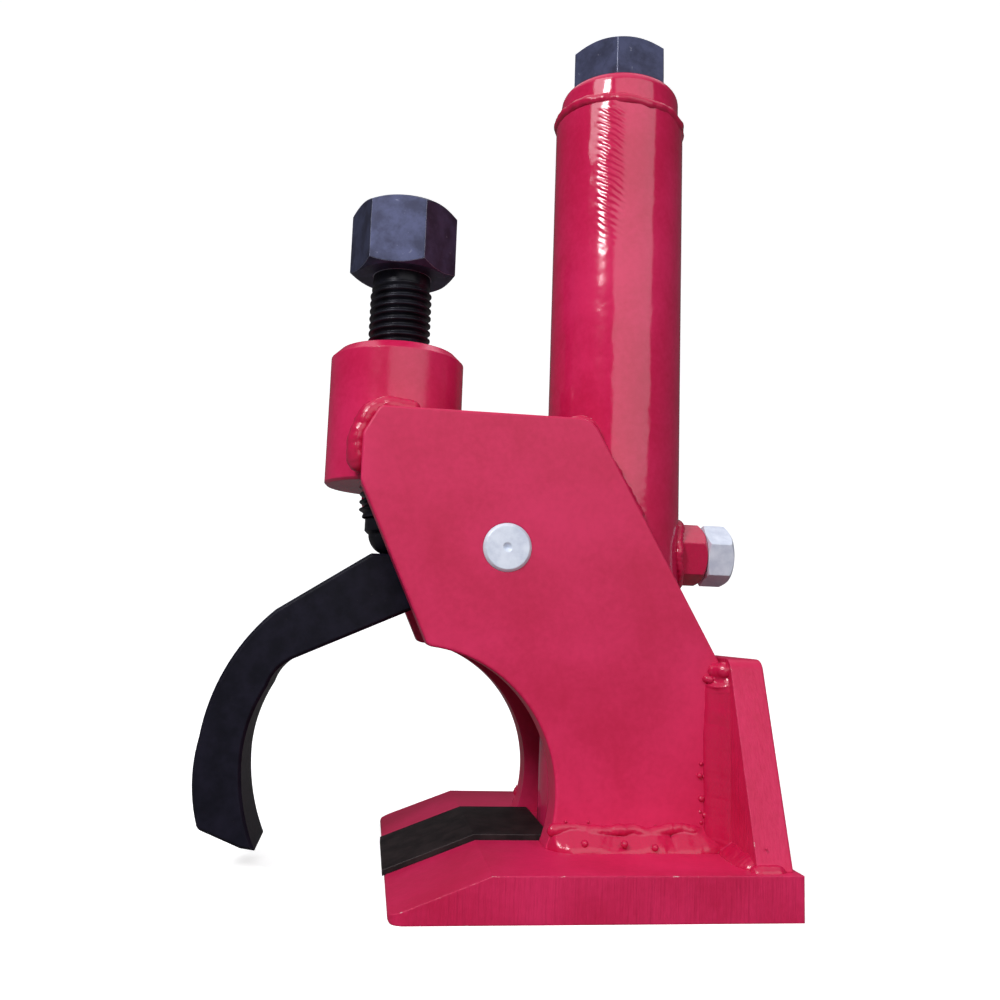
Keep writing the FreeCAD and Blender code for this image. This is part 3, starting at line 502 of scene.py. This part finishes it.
ripple = (phase * math.pi).math("SINE").math("ABSOLUTE").math("POWER", 0.6) - 0.6
spot = bead.node("GeometryNodeInputPosition", {})
lump = spot.node("ShaderNodeTexNoise", {"Vector": spot, "W": given["Seed"], "Detail": 2.0,
                                        "Scale": 1 / given["Lump size"]}, noise_dimensions="4D") - 0.5
normal = bead.node("GeometryNodeInputNormal", {})
facing = normal.node("ShaderNodeVectorMath", {0: normal, 1: given["Toward"]}, 1,
                     operation="DOT_PRODUCT")
hollow = facing.math("MAXIMUM", 0.0).math("POWER", 4.0) * given["Hollow"]
push = ripple * given["Ripple"] + lump * given["Lumps"] - hollow
push = normal.node("ShaderNodeVectorMath", {0: normal, "Scale": push}, operation="SCALE")
bead = bead.node("GeometryNodeSetPosition", {"Geometry": bead, "Offset": push})
close(bead_tree, bead, given)
print("bead recipe nodes", len(bead_tree.nodes))


def weld(points, radius, seed, closed=False, pitch=2.0, ripple=0.5, lumps=1.6, size=3.3, wander=1.4,
         hollow=0.0, toward=(0, 0, 1)):
    """One bead along a path; sizes are in millimetres, and hollow is a share of the radius."""
    sizes = {"Radius": radius * MM, "Pitch": pitch * MM, "Ripple": ripple * MM, "Lumps": lumps * MM,
             "Lump size": size * MM, "Wander": wander * MM, "Hollow": hollow * radius * MM,
             "Toward": Vector(toward).normalized(), "Round": 0.0 if closed else 1.0,
             "Seed": float(seed)}
    return run(bead_tree, polyline(points, closed), red_weld, sizes)


# %% Beads where the plates meet the boss and the tube
def mirrored(points, side):
    """The same path on one side of the middle plane."""
    return [(x, side * y, z) for x, y, z in points]


plate_low, plate_high = [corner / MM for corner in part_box("front_side_plate")]
tube_low, tube_high = [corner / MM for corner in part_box("press_tube")]
_, base_high = [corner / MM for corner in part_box("base_plate")]
back_low, _ = [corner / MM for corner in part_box("back_plate")]
inner = -plate_high.y
outer = -plate_low.y
front = plate_low.x
top = plate_high.z
floor_z = base_high.z
tube_x = (tube_low.x + tube_high.x) / 2
tube_r = (tube_high.x - tube_low.x) / 2
BOSS_PATH = [
    (front - 1.0, inner, top - 22), (front - 1.4, inner + 0.5, top - 16),
    (front - 1.4, inner + 0.5, top - 11), (front + 1.5, inner + 1.0, top - 2.5),
    (front + 6, inner + 0.8, top + 1.2), (front + 13, inner + 0.5, top + 1.2),
    (front + 20, inner + 0.5, top + 0.4)]
TUBE_PATH = [
    (tube_x - 23, inner - 3, top + 0.6), (tube_x - 17, inner - 2, top + 0.5),
    (tube_x - 13.5, inner - 1.5, top - 5), (tube_x - 9.5, inner, top - 13),
    (tube_x - 4.5, inner + 0.4, top - 21.5), (tube_x + 1, inner + 0.4, top - 31),
    (tube_x + 3.5, inner + 0.2, top - 36)]
SEAM = {"pitch": 3.4, "ripple": 0.22, "lumps": 1.7, "size": 5.5, "wander": 1.6}
boss_beads = [weld(mirrored(BOSS_PATH, side), 4.0, 3 + side, **SEAM) for side in (-1, 1)]
tube_beads = [weld(mirrored(TUBE_PATH, side), 3.2, 7 + side, **SEAM) for side in (-1, 1)]
piece("boss_weld_beads", boss_beads, "frame", ["boss_welds"])
piece("tube_weld_beads", tube_beads, "frame", ["tube_welds"])

# %% Beads on the base, round the back plate, the cap and the guide nut
BASE_BEAD_X = 17
BASE_PATH = [(BASE_BEAD_X + step, outer - 0.8, floor_z - 0.6 + 0.9 * (k % 3))
             for k, step in enumerate(range(0, 64, 7))]
BASE_CROWN = [(BASE_BEAD_X + step, outer - 0.5, floor_z + 5.6 + 0.8 * (k % 2))
              for k, step in enumerate(range(0, 63, 9))]
base_beads = []
for side in (-1, 1):
    tilt = (0, side, 1)
    base_beads.append(weld(mirrored(BASE_PATH, side), 7.4, 11 + side, pitch=3.2, ripple=0.12, lumps=1.8,
                           size=9, wander=1.5, hollow=0.34, toward=tilt))
    base_beads.append(weld(mirrored(BASE_CROWN, side), 2.2, 13 + side, pitch=2.8, ripple=0.15, lumps=2.2,
                           size=5, wander=2.6))
piece("base_weld_beads", base_beads, "frame", ["base_welds"])

UPRIGHT = [(back_low.x, outer + 2.2 - 0.03 * z, z) for z in range(12, 76, 7)]
SHOULDER = [(back_low.x - 5, outer - 2.5, 74), (back_low.x - 2, outer + 0.8, 74.3),
            (back_low.x + 0.5, outer + 3.6, 75), (back_low.x + 1.5, outer + 5.5, 75.6)]
FOOT = [(back_low.x + 0.8, y, floor_z - 0.8) for y in range(38, 68, 4)]
REAR = [(back_low.x - 2 + k, 66.8, floor_z - 0.9) for k in range(0, 13, 3)]
back_beads = []
for side in (-1, 1):
    back_beads.append(weld(mirrored(UPRIGHT, side), 7.6, 15 + side, ripple=0.05, lumps=1.6, size=9,
                           wander=1.2, hollow=0.46, toward=(-1, side, 0)))
    back_beads.append(weld(mirrored(SHOULDER, side), 3.0, 17 + side, ripple=0.2, lumps=1.8, wander=1.2))
    back_beads.append(weld(mirrored(FOOT, side), 5.6, 19 + side, ripple=0.12, lumps=1.6, size=7,
                           hollow=0.30, toward=(-1, 0, 1)))
    back_beads.append(weld(mirrored(REAR, side), 3.2, 23 + side, pitch=3.0, ripple=0.1, lumps=1.0,
                           size=5, wander=0.6))
piece("back_plate_weld_beads", back_beads, "frame", ["back_plate_welds"])


def circle_path(count, place):
    """Points of a closed path from an angle."""
    return [place(2 * math.pi * k / count) for k in range(count)]


CAP_BEAD_R = 24.4
CAP_RING = circle_path(28, lambda a: (
    tube_x + CAP_BEAD_R * math.cos(a), CAP_BEAD_R * math.sin(a), tube_high.z + 0.5 - 2.0 * math.cos(a)))
cap_bead = weld(CAP_RING, 2.4, 31, closed=True, pitch=4.0, ripple=0.05, lumps=2.2, size=8, wander=2.6)
piece("cap_weld_bead", [cap_bead], "frame", ["cap_weld"])

nut_low, nut_high = [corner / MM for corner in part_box("guide_nut")]
nut_z = (nut_low.z + nut_high.z) / 2
NUT_BEAD_R = 12.2


def round_nut(a):
    """A point where the guide nut stands on the tube."""
    y = NUT_BEAD_R * math.cos(a)
    return (tube_x + math.sqrt(tube_r ** 2 - y ** 2) + 0.3, y, nut_z + NUT_BEAD_R * math.sin(a))


nut_bead = weld(circle_path(20, round_nut), 1.9, 37, closed=True, ripple=0.25, lumps=1.4, wander=1.0)
piece("guide_nut_weld_bead", [nut_bead], "frame", ["guide_nut_weld"])

# %% [markdown]
# ## Spatter
# Drops of metal that flew from the welds froze on the plates and were painted over. They could be
# bumps in the material, but near a bead they stand up a whole millimetre and catch light, so they
# are balls. The recipe scatters points along a line, nudges each by a seeded random step and puts a
# small ball there.
# %% The spatter recipe
spatter_tree, given = recipe("spatter", {
    "Count": COUNT, "Spread X": FLOAT, "Spread Y": FLOAT, "Spread Z": FLOAT, "Smallest": FLOAT,
    "Largest": FLOAT, "Seed": COUNT})
line = given["Shape"].node("GeometryNodeMeshToCurve", {"Mesh": given["Shape"]})
line = line.node("GeometryNodeResampleCurve", {"Curve": line, "Count": given["Count"]}, mode="COUNT")
reach = line.node("ShaderNodeCombineXYZ",
                  {0: given["Spread X"], 1: given["Spread Y"], 2: given["Spread Z"]})
least = reach.node("ShaderNodeVectorMath", {0: reach, "Scale": -1.0}, operation="SCALE")
step = line.node("FunctionNodeRandomValue", {"Min": least, "Max": reach, "Seed": given["Seed"]},
                 data_type="FLOAT_VECTOR")
line = line.node("GeometryNodeSetPosition", {"Geometry": line, "Offset": step})
ball = line.node("GeometryNodeMeshIcoSphere", {"Radius": 1.0, "Subdivisions": 3})
scale = line.node("FunctionNodeRandomValue",
                  {2: given["Smallest"], 3: given["Largest"], "Seed": given["Seed"] + 1}, 1,
                  data_type="FLOAT")
balls = line.node("GeometryNodeInstanceOnPoints", {"Points": line, "Instance": ball, "Scale": scale})
close(spatter_tree, balls, given)


def spatter(ends, count, spread, smallest, largest, seed):
    """Drops scattered about the line between two points; sizes in millimetres."""
    sizes = {"Count": count, "Spread X": spread[0] * MM, "Spread Y": spread[1] * MM,
             "Spread Z": spread[2] * MM, "Smallest": smallest * MM, "Largest": largest * MM,
             "Seed": seed}
    return run(spatter_tree, polyline(ends), red_weld, sizes)


drops = []
for side in (-1, 1):
    face = side * (outer + 0.1)
    for ends, count, spread, smallest, largest, seed in (
            ([(71.5, face, 19), (71.0, face, 43)], 9, (1.6, 0.2, 1.5), 0.5, 1.15, 41),
            ([(70.5, face, 71), (75.5, face + side, 73)], 6, (1.5, 0.6, 1.6), 0.8, 1.5, 45),
            ([(22, face, 20.5), (66, face, 20.5)], 12, (4, 0.2, 3), 0.25, 0.6, 49),
            ([(28, face + side * 4, 17.5), (52, face + side * 5, 15.5)], 3, (3, 1, 1), 0.7, 1.3, 53),
            ([(back_low.x + 2, side * 46, 66), (back_low.x + 4, side * 66, 20)], 3, (1, 1, 1), 0.3,
             0.5, 57)):
        drops.append(spatter(ends, count, spread, smallest, largest, seed + side))
piece("weld_spatter", drops, "frame")

# %% [markdown]
# ## The set bolt's thread
# The bolt's metric thread is what the eye reads first under its head. A screw modifier winds a
# profile round an axis, but its ends are hard to close. Here a flat grid is rolled up: one
# direction is the turn and the other is the height, and the radius falls by the thread's depth
# wherever the height, less the pitch for each turn, is between two crests.
# %% The thread recipe
CREST_SHARE = 0.16
FLANK_SHARE = 0.60
NECK_CUT = 0.45
TIP_CUT = 0.8
thread_tree, given = recipe("thread", {
    "Radius": FLOAT, "Pitch": FLOAT, "Depth": FLOAT, "Bottom": FLOAT, "Length": FLOAT,
    "Rows": COUNT, "Columns": COUNT, "Neck": FLOAT})
sheet = given["Shape"].node("GeometryNodeMeshGrid", {
    "Size X": 1.0, "Size Y": 1.0, "Vertices X": given["Columns"], "Vertices Y": given["Rows"]})
u, v, _ = sheet.node("GeometryNodeInputPosition", {}).parts()
share = v + 0.5
height = share * given["Length"]
phase = (height / given["Pitch"] - u + 0.5).math("FRACT")
flank = ((phase - 0.5).math("ABSOLUTE") * 2 - CREST_SHARE) / FLANK_SHARE
flank = flank.math("MINIMUM", 1.0).math("MAXIMUM", 0.0)
fade = (given["Length"] - given["Neck"] - height) / given["Pitch"]
fade = fade.math("MINIMUM", 1.0).math("MAXIMUM", 0.0)
lead = (height / given["Pitch"]).math("MINIMUM", 1.0)
cut = flank * fade * lead
narrow = (1 - fade) * NECK_CUT + (1 - lead) * TIP_CUT
radius = given["Radius"] - given["Depth"] * cut - given["Depth"] * narrow
angle = (u + 0.5) * (2 * math.pi)
spot = radius.node("ShaderNodeCombineXYZ", {
    0: radius * angle.math("COSINE"), 1: radius * angle.math("SINE"), 2: height + given["Bottom"]})
shank = sheet.node("GeometryNodeSetPosition", {"Geometry": sheet, "Position": spot})
shank = shank.node("GeometryNodeMergeByDistance", {"Geometry": shank, "Distance": 1e-6})
close(thread_tree, shank, given)
print("thread recipe nodes", len(thread_tree.nodes))


def thread(radius, pitch, bottom, top, depth, neck, material, columns=56, rows_a_turn=12):
    """A threaded shank on the Z axis with a plain neck at its top; sizes in millimetres."""
    sizes = {"Radius": radius * MM, "Pitch": pitch * MM, "Depth": depth * MM, "Bottom": bottom * MM,
             "Length": (top - bottom) * MM, "Neck": neck * MM, "Columns": columns,
             "Rows": int((top - bottom) / pitch * rows_a_turn)}
    return run(thread_tree, bpy.data.meshes.new("empty"), material, sizes)


# %% The bolt: the packed model's head on the new shank
def merged_copy(name):
    """A copy of a packed solid with its loose triangles joined."""
    copy = bmesh.new()
    copy.from_mesh(nodes[name].data)
    bmesh.ops.remove_doubles(copy, verts=copy.verts, dist=2e-6)
    return copy


def keep_head(name, axis_x, shank_r, seat_z):
    """The part of a bolt above its shank, closed underneath."""
    head = merged_copy(name)
    below = []
    for face in head.faces:
        centre = face.calc_center_median()
        near = math.hypot(centre.x - axis_x * MM, centre.y) < (shank_r + 0.05) * MM
        if near and centre.z < (seat_z - 0.01) * MM:
            below.append(face)
    bmesh.ops.delete(head, geom=below, context="FACES")
    bmesh.ops.delete(head, geom=[v for v in head.verts if not v.link_faces], context="VERTS")
    bmesh.ops.holes_fill(head, edges=[e for e in head.edges if e.is_boundary], sides=0)
    for edge in head.edges:
        edge.smooth = edge.calc_face_angle(0.0) < math.radians(25)
    for face in head.faces:
        face.smooth = True
    mesh = bpy.data.meshes.new(name)
    head.to_mesh(mesh)
    head.free()
    return mesh


BOLT_R = 12.0
BOLT_PITCH = 3.0
HEAD_H = 27.0
SPIGOT_R = 5.0
SPIGOT_L = 8.0
SPIGOT_SINK = 2.4
bolt_low, bolt_high = [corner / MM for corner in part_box("set_bolt")]
tip_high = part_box("set_bolt_tip")[1].z / MM
bolt_x = (bolt_low.x + bolt_high.x) / 2
head_z = bolt_high.z - HEAD_H
head = keep_head("set_bolt", bolt_x, BOLT_R, head_z)
head.materials.append(oxide)
shank = thread(BOLT_R, BOLT_PITCH, tip_high + 0.4, head_z + 1.0, 1.75, 5.0, thread_oxide)
shank.transform(Matrix.Translation((bolt_x * MM, 0, 0)))
stub = bmesh.new()
spigot_place = Matrix.Translation((bolt_x * MM, 0, (tip_high - SPIGOT_SINK) * MM))
bmesh.ops.create_cone(stub, cap_ends=True, segments=32, radius1=SPIGOT_R * MM,
                      radius2=SPIGOT_R * MM, depth=SPIGOT_L * MM, matrix=spigot_place)
spigot = bpy.data.meshes.new("spigot")
stub.to_mesh(spigot)
stub.free()
spigot.materials.append(thread_oxide)
bolt = piece("set_bolt_threaded", [head, shank, spigot], "set_bolt", ["set_bolt"])
print("bolt box mm", [round(v / MM, 2) for c in bolt.bound_box for v in c][:3])

# %% [markdown]
# ## Floor and light
# The tool stands on a plain pale floor in soft studio light: a broad lamp high on the left, a large
# dim card in front on the right, an upright strip that draws the narrow streak down the tube, and a
# weak lamp overhead. Pale surroundings would fill every shadow and whiten the enamel at a glancing
# angle, so the paper is pale to the eye and dim to what mirrors it. A picture of a room could light
# it, but needs a file.
# %% Stage
FLAT_R = 1.1
WALL_R = 3.6
WALL_H = 4.2
SPOKES = 96
STEPS = 20
dish = bmesh.new()
rims = []
for k in range(STEPS + 1):
    share = k / STEPS
    r = FLAT_R + (WALL_R - FLAT_R) * math.sin(share * math.pi / 2)
    z = WALL_H * (1 - math.cos(share * math.pi / 2))
    turns = [2 * math.pi * n / SPOKES for n in range(SPOKES)]
    rims.append([dish.verts.new((r * math.cos(t), r * math.sin(t), z)) for t in turns])
dish.faces.new(rims[0])
for low_rim, high_rim in zip(rims, rims[1:]):
    for n in range(SPOKES):
        m = (n + 1) % SPOKES
        dish.faces.new((low_rim[n], low_rim[m], high_rim[m], high_rim[n])).smooth = True
floor_mesh = bpy.data.meshes.new("floor")
dish.to_mesh(floor_mesh)
dish.free()
floor = bpy.data.objects.new("floor", floor_mesh)
bpy.context.scene.collection.objects.link(floor)
PAPER_MIRRORED = (0.20, 0.19, 0.19, 1)
paper, seen, place, _ = finish(
    "paper", Base_Color=(0.86, 0.86, 0.86, 1), Roughness=0.9, Specular_IOR_Level=0.0,
    Emission_Color=(1, 1, 1, 1), Emission_Strength=0.70)
mirrored_paper = place.node("ShaderNodeBsdfDiffuse", {"Color": PAPER_MIRRORED})
by_eye = place.node("ShaderNodeLightPath", {}, 0)
seen_paper = Socket(paper.node_tree, seen.outputs[0])
mixed = by_eye.node("ShaderNodeMixShader", {0: by_eye, 1: mirrored_paper, 2: seen_paper})
paper.node_tree.links.new(mixed.output, paper.node_tree.nodes["Material Output"].inputs["Surface"])
floor.data.materials.append(paper)


def lamp(name, place, aim, width, height, power, colour=(1, 1, 1)):
    """A rectangular lamp at a place, turned to a point; metres and watts."""
    data = bpy.data.lights.new(name, "AREA")
    data.shape = "RECTANGLE"
    data.size = width
    data.size_y = height
    data.energy = power
    data.color = colour
    made = bpy.data.objects.new(name, data)
    bpy.context.scene.collection.objects.link(made)
    turn = (Vector(aim) - Vector(place)).to_track_quat("-Z", "Y")
    made.matrix_world = Matrix.Translation(place) @ turn.to_matrix().to_4x4()
    return made


TARGET = (0.0, 0.0, 0.15)
lamp("broad_left", (-1.1, -0.9, 1.5), TARGET, 0.9, 0.9, 11, (0.97, 0.98, 1.0))
lamp("front_card", (0.5, -1.7, 0.9), TARGET, 2.4, 1.6, 19)
lamp("strip", (-0.79, -1.0, 0.95), (0.0465, 0, 0.27), 0.24, 0.30, 9)
lamp("overhead", (0.2, 0.8, 2.0), TARGET, 1.6, 1.0, 3)
world = bpy.data.worlds.new("world")
world.use_nodes = True
world.node_tree.nodes["Background"].inputs["Color"].default_value = (0.93, 0.95, 1.0, 1)
world.node_tree.nodes["Background"].inputs["Strength"].default_value = 0.7
bpy.context.scene.world = world
bpy.context.scene.view_settings.view_transform = "Standard"

# %% [markdown]
# ## The last update
# The view layer is brought up to date once more at the end.
# %% The last call
bpy.context.view_layer.update()
